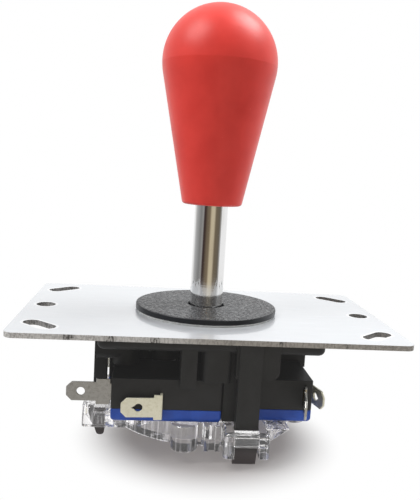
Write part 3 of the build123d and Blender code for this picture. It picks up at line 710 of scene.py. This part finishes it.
def onQuarters(corners):  # a closed convex form round the corners, in millimetres, on each side of the axis
    bm = bmesh.new()
    for quarter in range(len(sides)):
        turn = Matrix.Rotation(math.radians(90 * quarter), 3, "Z")
        points = [bm.verts.new(turn @ (Vector(corner) * mm)) for corner in corners]
        bmesh.ops.convex_hull(bm, input=points)
    return meshOf(bm)


def joined(mesh, other, operation):
    first, second = (addObject("shape", data) for data in (mesh, other))
    step = first.modifiers.new("join", "BOOLEAN")
    step.operation = operation
    step.solver = "EXACT"
    step.object = second
    made = bpy.data.meshes.new_from_object(first.evaluated_get(bpy.context.evaluated_depsgraph_get()))
    for shape in (first, second):
        bpy.data.objects.remove(shape)
    return made


def gateWithGussets():  # the gate with each gusset beside its loop, in place of one across the dish
    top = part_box("restrictor_gate")[1].z / mm
    shape = meshOf(welded(nodes["restrictor_gate"].data))
    bm = bmesh.new()
    radius = gusset["dishRadius"] * mm
    middle = Matrix.Translation((0, 0, top * mm))
    bmesh.ops.create_cone(bm, cap_ends=True, segments=gusset["dishSteps"], radius1=radius, radius2=radius,
                          depth=gusset["dishHeight"] * mm, matrix=middle)
    dish = meshOf(bm)
    cut = []
    for along, drop in zip((gusset["cutFrom"], gusset["cutTo"]), gusset["cutDrops"]):
        for height in (top + gusset["cutRoom"], top - drop):
            cut += [(along, gusset["cutNear"], height), (along, gusset["cutFar"], height)]
    shape = joined(shape, joined(onQuarters(cut), dish, "DIFFERENCE"), "DIFFERENCE")
    near = gusset["start"] - gusset["inside"]
    far = gusset["start"] + gusset["width"]
    low = top - gusset["drop"] * (far - near) / gusset["width"]
    nearSeat, farSeat = gusset["seats"]
    corners = [(near, -place, height) for place in (nearSeat, gusset["reach"]) for height in (top, low)]
    corners += [(far, -place, top) for place in (farSeat, gusset["reach"])]
    shape = joined(shape, onQuarters(corners), "UNION")
    bm = bmesh.new()
    bm.from_mesh(shape)
    bmesh.ops.dissolve_limit(bm, angle_limit=sameSlope, verts=bm.verts, edges=bm.edges)
    shape = meshOf(bm)
    shape.shade_smooth()
    shape.set_sharp_from_angle(angle=math.radians(gusset["sharp"]))
    shape.materials.clear()
    shape.materials.append(clearGate().material)
    piece = addObject("gateWithGussets", shape)
    shading = piece.modifiers.new("shading", "WEIGHTED_NORMAL")  # keeps the flats flat beside round corners
    shading.keep_sharp = True
    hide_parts("restrictor_gate")
    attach(piece, "base")


gateWithGussets()
print("gate made")


coil = {"wire": 1.0, "turns": 4.5, "ends": 0.75, "topRoom": 0.8, "steps": 24, "roundness": 3}


def returnCoil():  # the spring with closed ends, coiled from wire
    low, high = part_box("return_spring")
    wire = coil["wire"] * mm
    radius = (high.x - low.x - wire) / 2
    bottom = low.z + wire / 2
    rise = high.z - coil["topRoom"] * mm - wire / 2 - bottom
    turns = coil["turns"] + 2 * coil["ends"]
    endRise = coil["ends"] * wire
    count = int(turns * coil["steps"])
    data = bpy.data.curves.new("returnCoil", "CURVE")
    data.dimensions = "3D"
    data.bevel_depth = wire / 2
    data.bevel_resolution = coil["roundness"]
    data.use_fill_caps = True
    line = data.splines.new("POLY")
    line.points.add(count)
    for index in range(count + 1):
        turn = turns * index / count
        if turn < coil["ends"]:
            height = turn * wire
        elif turn > turns - coil["ends"]:
            height = rise - (turns - turn) * wire
        else:
            height = endRise + (rise - 2 * endRise) * (turn - coil["ends"]) / coil["turns"]
        angle = turn * math.tau
        line.points[index].co = (radius * math.cos(angle), radius * math.sin(angle), bottom + height, 1)
    soft = bpy.data.objects.new("coilCurve", data)
    mesh = bpy.data.meshes.new_from_object(soft)
    bpy.data.objects.remove(soft)
    mesh.materials.append(plainFinishes["springWire"].material)
    piece = addObject("returnCoil", mesh)
    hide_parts("return_spring")
    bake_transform(piece)


returnCoil()
print("spring coiled")


leaf = {"rows": 28}


def springLeaf(side):  # the switch's leaf, cut across its length into rows
    mesh = nodes[f"spring_leaf_{side}"].data.copy()
    mesh.materials.clear()
    mesh.materials.append(plainFinishes["brassLeaf"].material)
    bm = welded(mesh)
    low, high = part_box(f"spring_leaf_{side}")
    along = Vector((1, 0, 0)) if side in ("front", "back") else Vector((0, 1, 0))
    first, last = low.dot(along), high.dot(along)
    for row in range(1, leaf["rows"]):
        cut = first + (last - first) * row / leaf["rows"]
        geometry = bm.verts[:] + bm.edges[:] + bm.faces[:]
        bmesh.ops.bisect_plane(bm, geom=geometry, plane_co=along * cut, plane_no=along)
    bm.to_mesh(mesh)
    bm.free()
    piece = addObject(f"leaf_{side}", mesh)
    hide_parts(f"spring_leaf_{side}")
    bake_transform(piece)


for side in sides:
    springLeaf(side)
print("leaves set")
